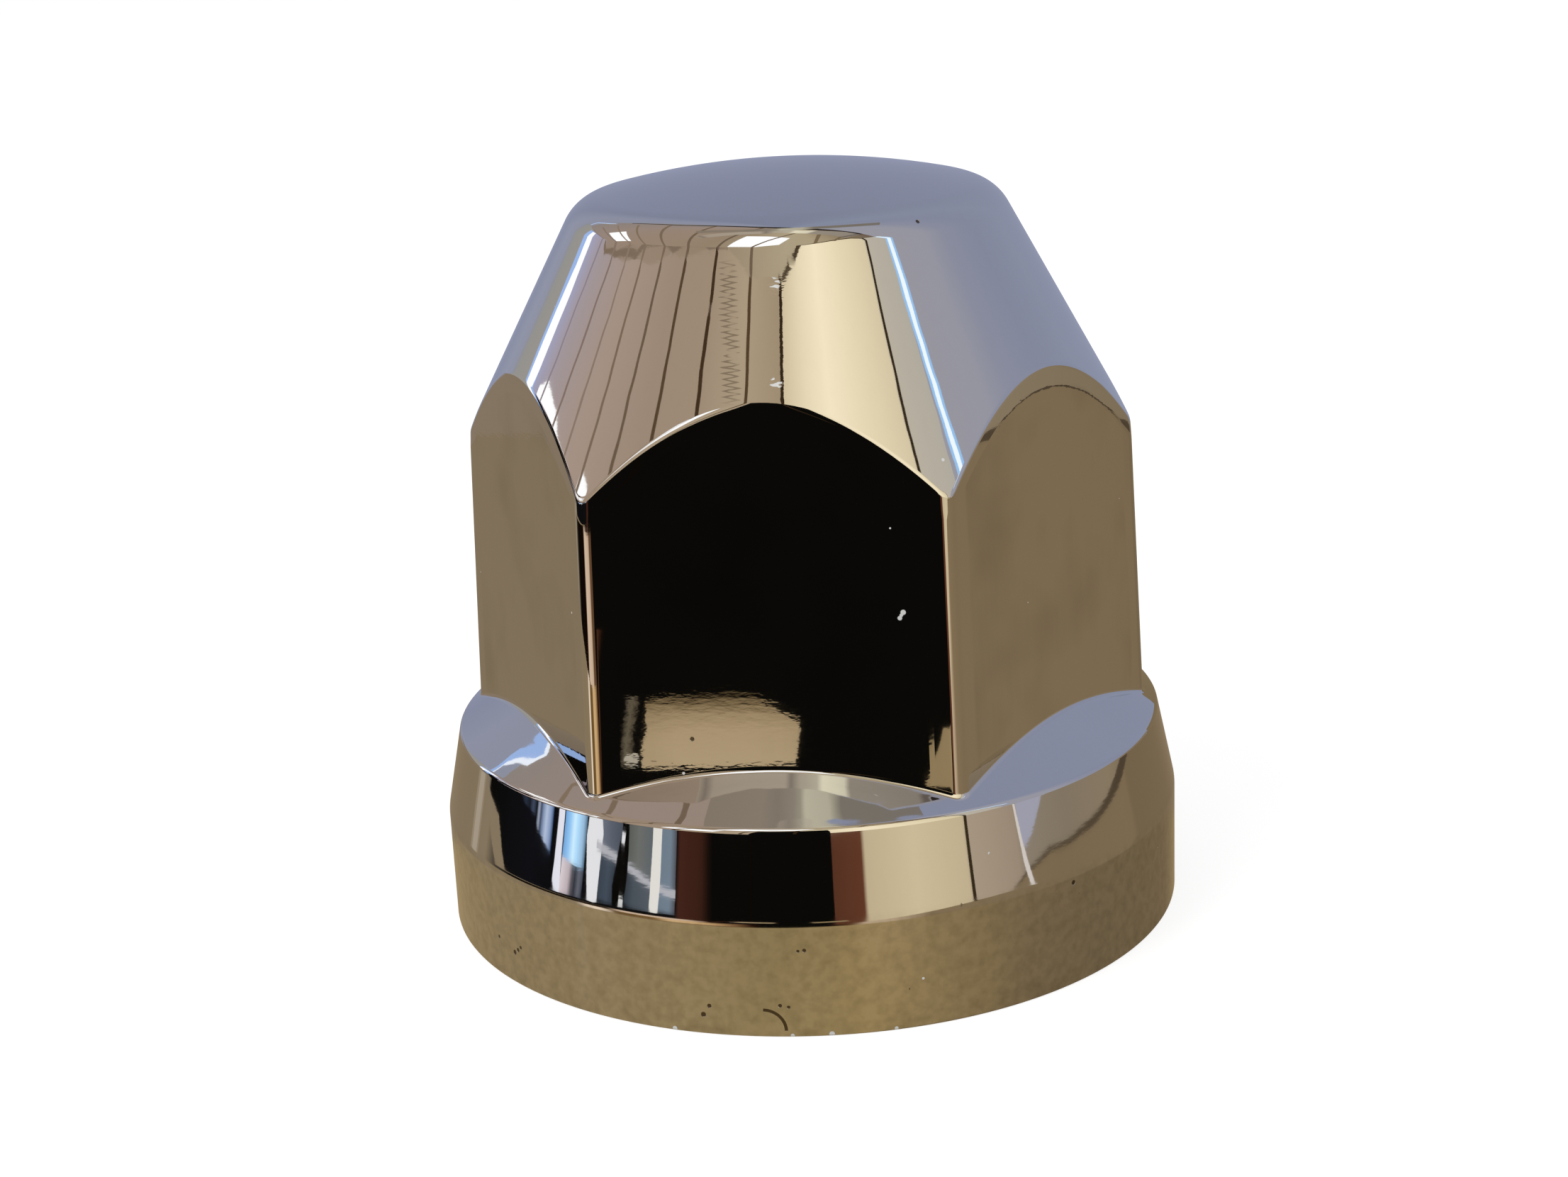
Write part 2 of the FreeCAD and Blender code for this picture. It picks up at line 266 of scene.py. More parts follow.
dome = arc_rows(ball_level, 0, DOME_ROUND, np.linspace(0, dome_edge, 15)[:-1], len(outer_turns))
crown = arc_rows(crown_height, crown_radius, CROWN_ROUND,
                 np.linspace(dome_edge, math.pi / 2 - NOSE_LEAN, 25)[:-1], len(outer_turns))
arc_radius, arc_height = meeting_height(outer_turns, flat_half_width, CORNER_ROUND, up_the_nose, ARC_HEIGHT)
EASE, EASE_LEAN = 1.2, math.radians(2.0)
ARC_ROUND, EASE_ROUND, ROOT_ROUND, RIM_ROUND, BAND_ROUND, LIP_ROUND = 1.2, 15, 0.5, 0.5, 2.5, 0.15
eased = EASE * math.tan(EASE_LEAN) / (NOSE_TAN - math.tan(HEX_DRAFT + EASE_LEAN))
ease_height = arc_height - EASE
ease_radius = hexagon_radius(outer_turns, flat_half_width(ease_height), CORNER_ROUND)
root_corner = meeting_height(outer_turns, flat_half_width, CORNER_ROUND, down_the_shoulder, RIM_HEIGHT)
sides = rounded_profile(
    corner_rows(
        outer_turns,
        (crown_radius + CROWN_ROUND * NOSE_COS, crown_height + CROWN_ROUND * NOSE_SIN),
        (arc_radius - eased * NOSE_TAN, arc_height + eased),
        (ease_radius, ease_height),
        root_corner,
        (RIM_RADIUS, RIM_HEIGHT),
        (SKIRT_RADIUS, SKIRT_HEIGHT),
        (SKIRT_RADIUS, 0),
        (LIP_MIDDLE + LIP_HALF, 0),
    ),
    rounds=(ARC_ROUND, EASE_ROUND, ROOT_ROUND, RIM_ROUND, BAND_ROUND, LIP_ROUND),
    arc_steps=(12, 4, 6, 8, 5, 4),
    line_steps=(12, 2, 8, 5, 4, 4, 1),
)
outside = np.concatenate((dome, crown, sides))
print(f"rows outside: {len(outside)}, arcs from {arc_height.min():.2f} to {arc_height.max():.2f} mm up")

# %% [markdown]
# ### The inside
#
# The wall is even, so the inside repeats the outside one wall further in. Two half-round ribs on each inner
# flat grip the nut. Seen from the axis, a rib is the near side of a circle, so it fits the same grid.

# %% Profile of the inside


def inset_corner(radius, height, lower_tilt, upper_tilt):
    """A corner after both its faces move in by the wall, along the middle of their two normals."""
    mean, half = (lower_tilt + upper_tilt) / 2, (upper_tilt - lower_tilt) / 2
    return radius - WALL * math.cos(mean) / math.cos(half), height - WALL * math.sin(mean) / math.cos(half)


inner_rim = inset_corner(RIM_RADIUS, RIM_HEIGHT, BAND_LEAN, math.pi / 2 - SHOULDER_SLOPE)
recess_top = inset_corner(SKIRT_RADIUS, SKIRT_HEIGHT, 0, BAND_LEAN)
cone_inset = WALL / NOSE_COS


def core_half_width(height):
    """Half the width across the inner flats."""
    return flat_half_width(height) - WALL / math.cos(HEX_DRAFT)


def up_the_inner_nose(radius):
    """Height of the inner cone at a radius."""
    return up_the_nose(radius + cone_inset)


def under_the_shoulder(radius):
    """Height of the shoulder's underside at a radius."""
    return inner_rim[1] + (inner_rim[0] - radius) * math.tan(SHOULDER_SLOPE)


off_rib = np.degrees(from_corner(inner_turns)) - rib_middle
on_rib = np.abs(off_rib) < rib_reach + BESIDE_RIB / 2
aside = rib_distance * np.sin(np.radians(off_rib))
rib_radius = rib_distance * np.cos(np.radians(off_rib)) - np.sqrt(np.maximum(RIB_ROUND ** 2 - aside ** 2, 0))

foot_radius, foot_height = meeting_height(
    inner_turns, core_half_width, CORE_ROUND, under_the_shoulder, RIM_HEIGHT)
foot_radius = np.where(on_rib, rib_radius, foot_radius)
foot_height = np.where(on_rib, under_the_shoulder(rib_radius), foot_height)
nose_radius, nose_height = meeting_height(
    inner_turns, core_half_width, CORE_ROUND, up_the_inner_nose, ARC_HEIGHT)
UNDER_NOSE, RIB_STEP, INNER_LIP_ROUND, INNER_ARC_ROUND = 0.6, 0.02, 0.1, 0.3
step_height = np.minimum(RIB_TOP, nose_height - UNDER_NOSE)
below_step = step_height - RIB_STEP
low_radius = hexagon_radius(inner_turns, core_half_width(below_step), CORE_ROUND)
low_radius = np.where(on_rib, rib_radius, low_radius)
high_radius = hexagon_radius(inner_turns, core_half_width(step_height), CORE_ROUND)

inner_ball = DOME_ROUND - WALL
inner_edge = HEX_AT_ARC - cone_inset
cone_reach = inner_edge * NOSE_COS + (ARC_HEIGHT - ball_level) * NOSE_SIN
cone_climb = math.sqrt(inner_ball ** 2 - cone_reach ** 2)
ring_radius = cone_reach * NOSE_COS - cone_climb * NOSE_SIN
ring_height = ball_level + cone_reach * NOSE_SIN + cone_climb * NOSE_COS
ring_tilt = math.asin(ring_radius / inner_ball)

hollow = rounded_profile(
    corner_rows(
        inner_turns,
        (LIP_MIDDLE - LIP_HALF, 0),
        (recess_top[0], 0),
        recess_top,
        inner_rim,
        (foot_radius, foot_height),
        (low_radius, below_step),
        (high_radius, step_height),
        (nose_radius, nose_height),
        (ring_radius, ring_height),
    ),
    rounds=(INNER_LIP_ROUND, 0, 0, 0, 0, 0, INNER_ARC_ROUND),
    arc_steps=(3, 0, 0, 0, 0, 0, 3),
    line_steps=(1, 3, 3, 3, 6, 1, 3, 6),
)
inner_dome = arc_rows(ball_level, 0, inner_ball, np.linspace(ring_tilt, 0, 9)[1:], len(inner_turns))
inside = np.concatenate((hollow, inner_dome))
print("rows inside:", len(inside), "inner top at", round(inside[-1, 0, 1], 2), "mm")

# %% [markdown]
# ### From rows to a mesh
#
# The first and last rows shrink to a point, so each becomes one vertex with a fan of triangles, and the last
# column joins the first. Blender's own normals lean to one side where narrow faces meet wide ones, and a
# mirror shows it as a kink. So the outside gets normals worked out from the grid itself.

# %% Put the rows into a mesh


def lathe_points(rows, turns):
    """Rows of radius and height turned about the axis: radius times cosine, radius times sine, height."""
    return np.stack((rows[..., 0] * np.cos(turns), rows[..., 0] * np.sin(turns), rows[..., 1]), axis=2)


def grid_normals(points, turns):
    """Unit normals of a grid that closes round: the way down it crossed with the way round it.

    The way round weighs the slopes on both sides by the width of the other side, which is exact on a curve
    even where the columns are unevenly spaced.
    """
    down = np.zeros_like(points)
    down[1:-1] = points[2:] - points[:-2]
    down[0], down[-1] = points[1] - points[0], points[-1] - points[-2]
    ahead = ((np.roll(turns, -1) - turns) % (2 * math.pi))[:, None]
    behind = np.roll(ahead, 1, axis=0)
    slope_ahead = (np.roll(points, -1, axis=1) - points) / ahead
    slope_behind = (points - np.roll(points, 1, axis=1)) / behind
    round_it = (slope_ahead * behind + slope_behind * ahead) / (ahead + behind)
    normals = np.cross(down, round_it)
    normals[0] = (0, 0, 1)
    return unit(normals)


outside_points = lathe_points(outside, outer_turns)
inside_points = lathe_points(inside, inner_turns)
grid = np.concatenate((outside_points, inside_points))
rows, columns = grid.shape[:2]
vertices = np.concatenate((grid[0, :1], grid[1:-1].reshape(-1, 3), grid[-1, :1])) * MM

index = 1 + np.arange((rows - 2) * columns).reshape(rows - 2, columns)
beside = np.roll(index, -1, axis=1)
quads = np.stack((index[:-1], index[1:], beside[1:], beside[:-1]), axis=2).reshape(-1, 4)
top_fan = np.stack((np.zeros(columns, int), index[0], beside[0]), axis=1)
last = len(vertices) - 1
bottom_fan = np.stack((index[-1], np.full(columns, last), beside[-1]), axis=1)

cap_mesh = bpy.data.meshes.new("cap_shell")
cap_mesh.from_pydata(vertices.tolist(), [], top_fan.tolist() + quads.tolist() + bottom_fan.tolist())
cap_mesh.validate()
cap_mesh.shade_smooth()
SHARP_ANGLE, UPRIGHT_LIMIT, CORNER_MARGIN = math.radians(25), 0.06, math.radians(4)
cap_mesh.set_sharp_from_angle(angle=SHARP_ANGLE)

own_normals = np.zeros((len(vertices), 3))
outer_normals = grid_normals(outside_points, outer_turns)
own_normals[0] = (0, 0, 1)
outer_count = (len(outside) - 2) * columns
own_normals[1:1 + outer_count] = outer_normals[1:-1].reshape(-1, 3)
cap_mesh.normals_split_custom_set_from_vertices(own_normals.tolist())

is_inside = np.zeros(len(vertices), np.float32)
is_inside[1 + (len(outside) - 1) * columns:] = 1
upright = (np.abs(outer_normals[..., 2]) < UPRIGHT_LIMIT) & (outside_points[..., 2] > RIM_HEIGHT) \
    & (from_corner(outer_turns) > CORNER_MARGIN)
is_flat = np.zeros(len(vertices), np.float32)
is_flat[1:1 + outer_count] = upright[1:-1].ravel()
for name, values in (("inside", is_inside), ("flat_face", is_flat)):
    cap_mesh.attributes.new(name, "FLOAT", "POINT").data.foreach_set("value", values)

shell = add("cap_shell", cap_mesh)
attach(shell, "root")
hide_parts("cap")
print("faces:", len(cap_mesh.polygons), "triangles:", 2 * len(quads) + 2 * columns)

# %% [markdown]
# ## Writing a material as a formula
#
# A material is a tree of nodes. Built by hand it hides its own arithmetic, so two small classes are used
# here. A Wire is the output of a node, and adding or multiplying wires adds the Math nodes. A Recipe is one
# material, and its make method adds any node from its type, its settings and what goes into its sockets.

# %% Wires and recipes


class Wire:
    """An output socket that takes part in sums: each sign makes the Math node that does it."""

    def __init__(self, recipe, socket):
        self.recipe, self.socket = recipe, socket

    def maths(self, operation, first, second=0.0):
        return self.recipe.make("Math", {"operation": operation}, {0: first, 1: second})

    def __add__(self, other):
        return self.maths("ADD", self, other)

    def __sub__(self, other):
        return self.maths("SUBTRACT", self, other)

    def __rsub__(self, other):
        return self.maths("SUBTRACT", other, self)

    def __mul__(self, other):
        return self.maths("MULTIPLY", self, other)

    def __gt__(self, other):
        return self.maths("GREATER_THAN", self, other)

    def __lt__(self, other):
        return self.maths("LESS_THAN", self, other)

    def __abs__(self):
        return self.maths("ABSOLUTE", self)

    __radd__, __rmul__ = __add__, __mul__

    def zigzag(self, half_width):
        """Up and down between 0 and half_width as the wire grows."""
        return self.maths("PINGPONG", self, half_width)

    def step(self, low, high):
        """0 below low, 1 above high and a smooth rise between them, or a fall where low is the larger."""
        ends = {"From Min": low, "From Max": high}
        return self.recipe.make("MapRange", {"interpolation_type": "SMOOTHSTEP"}, {"Value": self, **ends})


class Recipe:
    """The nodes of one material, or of the tree that is given."""

    def __init__(self, name, tree=None):
        if tree is None:
            self.material = bpy.data.materials.new(name)
            self.material.use_nodes = True
            tree = self.material.node_tree
        self.tree = tree
        self.tree.nodes.clear()

    def make(self, kind, settings=None, inputs=None, output=0):
        """Adds a shader node: its settings, with a ramp's stops as (place, colour), then its sockets."""
        node = self.tree.nodes.new("ShaderNode" + kind)
        for name, value in (settings or {}).items():
            if name == "stops":
                while len(node.color_ramp.elements) < len(value):
                    node.color_ramp.elements.new(1.0)
                for element, (place, colour) in zip(node.color_ramp.elements, value):
                    element.position, element.color = place, (*colour, 1.0)
            else:
                setattr(node, name, value)
        for name, value in (inputs or {}).items():
            if isinstance(value, Wire):
                self.tree.links.new(value.socket, node.inputs[name])
            else:
                node.inputs[name].default_value = value
        return Wire(self, node.outputs[output]) if node.outputs else None

    def blend(self, share, first, second):
        """A colour that goes from first to second as share goes from 0 to 1."""
        return self.make("Mix", {"data_type": "RGBA"}, {0: share, 6: first, 7: second}, output=2)

    def finish(self, shader):
        self.make("OutputMaterial", inputs={"Surface": shader})
        return self.material


# %% [markdown]
# ## Chrome plate
#
# Chrome is a metal with almost no colour of its own. It gives back about two thirds of the light that
# falls on it, sharply, so its look is made by what stands around it and by tiny faults in the plating.
# Those are a slow waviness from the moulding, an orange peel a few tenths of a millimetre across that is
# deeper on the flats, hairline scratches, grains of dust, and dull, nicked metal on the skirt, which scrapes
# on floors and benches. Each is a small bump, colour or roughness, placed in millimetres on the cap. Two
# marks are painted light instead: glints along the lip and a zigzag reflection down the front of the cone.

# %% Helpers that place a mark on the cap
CHROME = (0.65, 0.652, 0.66)
plate = Recipe("chrome_plate")
place = plate.make("TexCoord", output="Object")
x_place, y_place, z_place = (
    plate.make("SeparateXYZ", inputs={"Vector": place}, output=axis) for axis in "XYZ")
inside_mask, flat_mask = (
    plate.make("Attribute", {"attribute_name": name}, output="Fac") for name in ("inside", "flat_face"))


def mottle(scale, detail=1.0, stretch=None):
    """Noise with about scale grains to the metre, pulled out along an axis where stretch is given."""
    where = place
    if stretch:
        where = plate.make("VectorMath", {"operation": "MULTIPLY"}, {0: place, 1: stretch})
    return plate.make("TexNoise", inputs={"Vector": where, "Scale": scale, "Detail": detail})


def distance_to(x, y, z):
    """Distance in metres from a point on the cap that is given in millimetres."""
    return plate.make("VectorMath", {"operation": "DISTANCE"},
                      {0: place, 1: (x * MM, y * MM, z * MM)}, output="Value")


def near(x, y, z, radius):
    """1 at a point on the cap and 0 beyond the radius."""
    return distance_to(x, y, z).step(radius * MM, radius * MM * 0.6)


# %% Relief: waviness, orange peel and scratches
front = y_place < 0
band_or_skirt = z_place.step(13.6 * MM, 13.2 * MM)
calm = 1 - band_or_skirt * 0.78 - flat_mask * 0.5
waves = (mottle(170, stretch=(1, 1, 0.4)) - 0.5) * 0.020 \
    + (mottle(430, stretch=(1, 1, 0.5)) - 0.5) * 0.007
rough_line = abs(x_place - 1.0 * MM).step(0.8 * MM, 0.3 * MM) * z_place.step(37.5 * MM, 38.5 * MM) \
    * z_place.step(45.4 * MM, 44.6 * MM) * front
peel_grain = mottle(3200, 2, stretch=(0.36, 0.36, 1.0)) - 0.5
peel = peel_grain * (0.0002 + flat_mask * 0.0013 + rough_line * 0.0016)
hairline = mottle(260, 3, stretch=(1, 1, 0.06))
scratches = hairline.step(0.69, 0.72)
print("nodes so far:", len(plate.tree.nodes))

# %% Marks: dust, the white chip, the burr on the skirt, nicks, painted glints on the lip and a painted zigzag reflection
dust_cells = plate.make("TexVoronoi", inputs={"Vector": place, "Scale": 420}, output="Distance")
dust = (dust_cells < 0.035) * (mottle(300, 0) > 0.60)
scuff_grain = mottle(1500, 1, stretch=(1, 1, 3.0)) > 0.56
scuffs = (near(0.75, -15.54, 44.85, 0.5) + near(1.00, -18.45, 39.43, 0.45)) * scuff_grain
chip = near(8.20, -19.60, 25.50, 0.20) + near(8.08, -19.60, 25.32, 0.13) + near(7.99, -19.61, 25.14, 0.17)
# The four marks along the bottom lip are painted glints, one of them where the burr catches the light; the
# last is a pale speck higher up.
lip_glints_and_speck = near(-6.4, -24.15, 0.15, 0.19) + near(1.0, -24.95, 0.12, 0.16) + near(3.4, -24.75, 0.15, 0.22) \
    + near(7.3, -23.9, 0.15, 0.15) + near(10.76, -18.17, 34.53, 0.12)
pale_marks = (dust + scuffs + chip + lip_glints_and_speck + near(-5.64, -19.93, 15.35, 0.11)).step(0.0, 1.0)

skirt = z_place.step(8.2 * MM, 6.8 * MM)
curl = abs(distance_to(-0.75, -24.99, 0.45) - 1.38 * MM) < 0.10 * MM
curl_part = (x_place > -0.75 * MM) * (z_place > 0.45 * MM) * front
nick_cells = plate.make("TexVoronoi", inputs={"Vector": place, "Scale": 330}, output="Distance")
nick_warp = mottle(2600) * 0.16
nicks = ((nick_cells + nick_warp) < 0.13) * (mottle(220, 0) > 0.57) * skirt
for dent in ((-17.68, -17.67, 2.22, 0.20), (-17.4, -17.95, 2.5, 0.17), (-17.17, -18.17, 2.76, 0.14),
             (-4.11, -24.66, 1.93, 0.17), (-4.51, -24.59, 1.32, 0.2), (0.31, -25.00, 2.13, 0.15),
             (0.83, -24.98, 2.03, 0.13), (1.93, -24.92, 5.78, 0.15), (1.55, -24.95, 5.74, 0.12),
             (-18.97, -16.28, 2.68, 0.15), (18.15, -17.19, 6.94, 0.2)):
    nicks = nicks + near(*dent)
spots = near(9.18, -10.54, 47.57, 0.17) + near(-5.00, -19.86, 17.56, 0.16)
dark_marks = (nicks + curl * curl_part + spots).step(0.0, 1.0)

# A chain of dark ticks down the front of the cone: a painted reflection, darkened into the colour.
tooth = z_place.zigzag(0.16 * MM) * 5.0 - 0.4 * MM + (mottle(1300) - 0.5) * 0.5 * MM
line_place = x_place + 1.65 * MM + (z_place - 38.7 * MM) * 0.053
zigzag_reflection = (abs(line_place - tooth) < 0.19 * MM) * z_place.step(38.2 * MM, 38.8 * MM) \
    * z_place.step(46.3 * MM, 45.8 * MM) * front * mottle(900).step(0.30, 0.46)
print("nodes so far:", len(plate.tree.nodes))

# %% Chrome plate
relief = waves * calm + peel + scratches * 0.0006 - dark_marks * 0.02
bump = plate.make("Bump", inputs={"Height": relief, "Distance": MM, "Strength": 1.0})
blotches = mottle(1500, 2)
polish = mottle(2400, 1, stretch=(1, 1, 0.05))
lip_dirt = z_place.step(1.7 * MM, 0.2 * MM)
dullness = skirt * (blotches - 0.36) * 1.8 + (polish - 0.5) * 0.12 \
    + flat_mask * (mottle(150, 2) - 0.45) * 1.8 + lip_dirt * (mottle(500, 2) - 0.35) * 1.2
roughness = (0.016 + mottle(60, 0) * 0.012 + skirt * 0.10 + inside_mask * 0.32 + scratches * 0.06
             + pale_marks * 0.4)
metal = plate.blend(dullness, (*CHROME, 1), (0.46, 0.455, 0.44, 1))
metal = plate.blend(inside_mask, metal, (0.52, 0.51, 0.49, 1))
# The zigzag is a painted reflection, darkening the colour.
metal = plate.blend(zigzag_reflection * 0.55, metal, (0.16, 0.14, 0.12, 1))
metal = plate.blend(dark_marks, metal, (0.13, 0.11, 0.09, 1))
metal = plate.blend(pale_marks, metal, (0.80, 0.80, 0.78, 1))
chrome = plate.finish(plate.make("BsdfPrincipled", inputs={
    "Base Color": metal,
    "Metallic": 1 - pale_marks,
    "Roughness": roughness,
    "Normal": bump,
}))
cap_mesh.materials.append(chrome)
print("nodes in the chrome:", len(chrome.node_tree.nodes))

# %% [markdown]
# ## Lighting a mirror with cards
#
# Lamps hardly show in chrome. What shows is the room, so a photographer stands cards round the piece, and
# each surface picks up one of them: the cone looks up at a wall, the leaning band looks out level, the
# skirt and the flats look down at the table. The cards here are patches of a large ball round the cap.
# A place on the ball has a turn (0 is in front, 90 to the right, 180 behind) and a rise above level.
# The cards glow for mirror rays only, so that they neither hide nor light the floor.

# %% A card from a grid of points
SET_RADIUS, LAYER = 1.5, 0.01


def light_of(value):
    """The light behind a screen value from 0 to 255, by the standard curve."""
    return ((value / 255 + 0.055) / 1.055) ** 2.4 if value > 10 else value / 255 / 12.92


def seen(red, green, blue, bounces=1):
    """The glow that a card needs to look like this screen colour in chrome, after one bounce or more.

    It is the light of each screen value over what the bounces give back of it.
    """
    return tuple(light_of(v) / kept ** bounces for v, kept in zip((red, green, blue), CHROME))


def stand(name, points, stops, bounces=1):
    """A card from a grid of points.

    Its stops are one screen colour, or a list of rows: share of the way across, red, green and blue.
    """
    if isinstance(stops, tuple):
        stops = [(0, *stops), (1, *stops)]
    glows = [(share, seen(*colour, bounces)) for share, *colour in stops]
    rows, columns = points.shape[:2]
    first = (np.arange(rows - 1)[:, None] * columns + np.arange(columns - 1)).ravel()
    faces = np.stack((first, first + columns, first + columns + 1, first + 1), axis=1)
    mesh = bpy.data.meshes.new(name)
    mesh.from_pydata(points.reshape(-1, 3).tolist(), [], faces.tolist())
    across, climb = np.meshgrid(np.linspace(0, 1, columns), np.linspace(0, 1, rows))
    spots = np.stack((across, climb), axis=2).reshape(-1, 2)
    mesh.uv_layers.new(name="UVMap").data.foreach_set("uv", spots[faces.ravel()].astype(np.float32).ravel())

    paint = Recipe(name)
    share = paint.make("SeparateXYZ", inputs={"Vector": paint.make("TexCoord", output="UV")})
    ramp = paint.make("ValToRGB", {"stops": glows}, {"Fac": share})
    mesh.materials.append(paint.finish(paint.make("Emission", inputs={"Color": ramp})))
    paint.material.cycles.emission_sampling = "NONE"
    piece = add(name, mesh)
    piece.visible_camera = piece.visible_diffuse = piece.visible_shadow = False


# %% Walls, panels and ribbons on the ball


def towards(turn, rise):
    """Unit direction: cosine of rise times sine and minus cosine of turn, and sine of rise."""
    turn, rise = np.radians(turn), np.radians(rise)
    return np.stack((np.cos(rise) * np.sin(turn), -np.cos(rise) * np.cos(turn), np.sin(rise)), axis=-1)


def on_ball(points, layer):
    """Points pushed out to the ball, a little nearer for each layer."""
    return unit(points) * (SET_RADIUS - layer * LAYER)


def edge_height(edge, turns):
    """An edge is one height, or (turn, rise) pairs that it runs between."""
    return np.interp(turns, *zip(*edge)) if isinstance(edge, list) else np.full_like(turns, edge)


def wall(name, turns, low, high, stops, layer=0):
    """A wall between two turns and two edges, with its stops at turns."""
    turn_line = np.linspace(*turns, int(turns[1] - turns[0]) // 2 + 2)
    share = np.linspace(0, 1, 24)[:, None]
    rise = edge_height(low, turn_line) * (1 - share) + edge_height(high, turn_line) * share
    if isinstance(stops, list):
        stops = [((turn - turns[0]) / (turns[1] - turns[0]), *colour) for turn, *colour in stops]
    stand(name, on_ball(towards(np.broadcast_to(turn_line, rise.shape), rise), layer), stops)


def between(corners):
    """A grid between four points: low left, low right, high right and high left."""
    across, climb = np.linspace(0, 1, 9)[None, :, None], np.linspace(0, 1, 9)[:, None, None]
    low = corners[0] * (1 - across) + corners[1] * across
    high = corners[3] * (1 - across) + corners[2] * across
    return low * (1 - climb) + high * climb


def panel(name, corners, stops, layer=3):
    """A panel between four (turn, rise) corners."""
    stand(name, on_ball(between([towards(*corner) for corner in corners]), layer), stops)


def ribbon(name, path, width, colour, layer=4):
    """A strip along (turn, rise) places, its sides half the width off, square to the way and the view."""
    corners = towards(*np.array(path, float).T)
    corner_places = np.arange(len(path))
    fine = np.linspace(0, len(path) - 1, 8 * (len(path) - 1) + 1)
    spine = unit(np.stack([np.interp(fine, corner_places, corners[:, axis]) for axis in range(3)], axis=1))
    aside = unit(np.cross(spine, np.gradient(spine, axis=0)))
    widths = np.interp(fine, corner_places, np.broadcast_to(width, len(path)))
    half = np.tan(np.radians(widths) / 2)[:, None]
    stand(name, on_ball(np.stack((spine - aside * half, spine + aside * half)), layer), colour)


# %% [markdown]
# ### The upper half
#
# Behind the cap hangs one lilac backdrop, which fills the dome, the right of the cone and two of the
# shoulder's lenses. In front of it is a panelled room corner: a warm wall up to a rail, and a ceiling that
# meets the backdrop in one dark line straight over the cap. Two windows stand where the corner begins.

# %% The backdrop, the warm wall and the ceiling
LILAC, INK, WHITE = (131, 137, 158), (10, 9, 7), (255, 255, 255)
RAIL = [(-135, 24.5), (-110, 24.5), (-103.7, 24.8), (-96, 27.9), (-82.6, 32.9), (-61.8, 39.4), (-41, 44),
        (-32.4, 45.6), (-27.9, 45.9), (4.8, 47.6), (10.3, 47.8), (17, 48.8), (28, 51), (39.4, 53), (49, 52.6),
        (54, 49), (66, 48)]

wall("backdrop", (-180, 180), -14, 90, [
    (-180, 124, 129, 150), (-152, 124, 129, 150), (-142, 136, 140, 158),
    (-130, 138, 141, 156), (60, 152, 150, 158), (88, 149, 149, 160), (100, 137, 140, 157),
    (120, 130, 135, 156), (142, 132, 138, 158), (180, 124, 129, 150)], layer=-2)
wall("warm_wall", (-135, 66), 2, RAIL, [
    (-135, 136, 138, 148), (-132, 144, 142, 138), (-121, 150, 146, 141), (-117, 158, 160, 188),
    (-112, 160, 154, 170), (-107, 160, 149, 153), (-98, 162, 147, 143), (-84, 164, 145, 131),
    (-57, 155, 136, 118), (-36, 158, 139, 118), (-18, 170, 152, 127), (0.6, 158, 140, 114),
    (1.2, 206, 190, 158), (12, 230, 215, 182), (22, 243, 229, 196), (36, 230, 215, 180),
    (52.2, 212, 198, 164), (52.8, 184, 175, 160), (66, 176, 170, 158)], layer=-1)
wall("ceiling", (-130, 62), RAIL, 90, [
    (-130, 138, 128, 122), (-114, 148, 132, 122), (-95, 150, 131, 115), (-75, 150, 131, 113),
    (-45, 147, 129, 108), (-20, 158, 142, 118), (5, 172, 158, 130), (24, 170, 155, 126),
    (38, 152, 136, 110), (48, 134, 118, 95), (62, 104, 90, 76)], layer=-1)

# %% Seams between the panels, which run on across the ceiling to the dark line
# On a map of the sky a seam goes SEAM_X to the right and SEAM_Y back, and the dark line climbs by its slope.
SEAM_X, SEAM_Y, DARK_LINE_SLOPE = 0.47, 0.88, 0.68
FADE, CEILING_TONE = 0.45, (136, 118, 100)


def overhead(x, y):
    """Turn and rise of a place on that map, x degrees to the right of the zenith and y in front."""
    return math.degrees(math.atan2(x, y)), 90 - math.hypot(x, y)


def ceiling_end(turn, rise):
    """Where a seam that starts at the rail meets the dark line, whose y is its slope times x."""
    x, y = (90 - rise) * math.sin(math.radians(turn)), (90 - rise) * math.cos(math.radians(turn))
    steps = (y - DARK_LINE_SLOPE * x) / (SEAM_Y + SEAM_X * DARK_LINE_SLOPE)
    return overhead(x + SEAM_X * steps, y - SEAM_Y * steps)


def faint(colour):
    """A screen colour with part of its light swapped for the ceiling's, taken back through the same curve."""
    mixed = [light_of(c) * (1 - FADE) + light_of(d) * FADE for c, d in zip(colour, CEILING_TONE)]
    return tuple(255 * (1.055 * light ** (1 / 2.4) - 0.055) for light in mixed)


for count, (turn, width, colour) in enumerate((
        (-108.5, 0.8, (136, 126, 132)), (-97.5, 0.9, (128, 110, 102)), (-88, 0.8, (136, 117, 104)),
        (-78.3, 0.9, (120, 101, 84)), (-67, 1.0, (104, 86, 69)), (-53.3, 1.1, (82, 65, 46)),
        (-36.6, 1.2, (62, 46, 30)), (-15.7, 1.1, (80, 62, 42)))):
    at_rail = float(edge_height(RAIL, np.array([turn]))[0])
    ribbon(f"seam_{count}", [(turn, 4), (turn, at_rail)], width, colour)
    ribbon(f"ceiling_seam_{count}", [(turn, at_rail), ceiling_end(turn, at_rail)], width, faint(colour))
ribbon("toothed_seam", [(0.8, 6), (0.8, 47.4)], 1.1, (48, 35, 22))
ribbon("post", [(53.6, -6), (53.1, -1), (52.8, 36), (53.3, 43), (54.2, 50)], (1.15, 1.0, 0.85, 0.85, 1.0),
       (48, 38, 22))
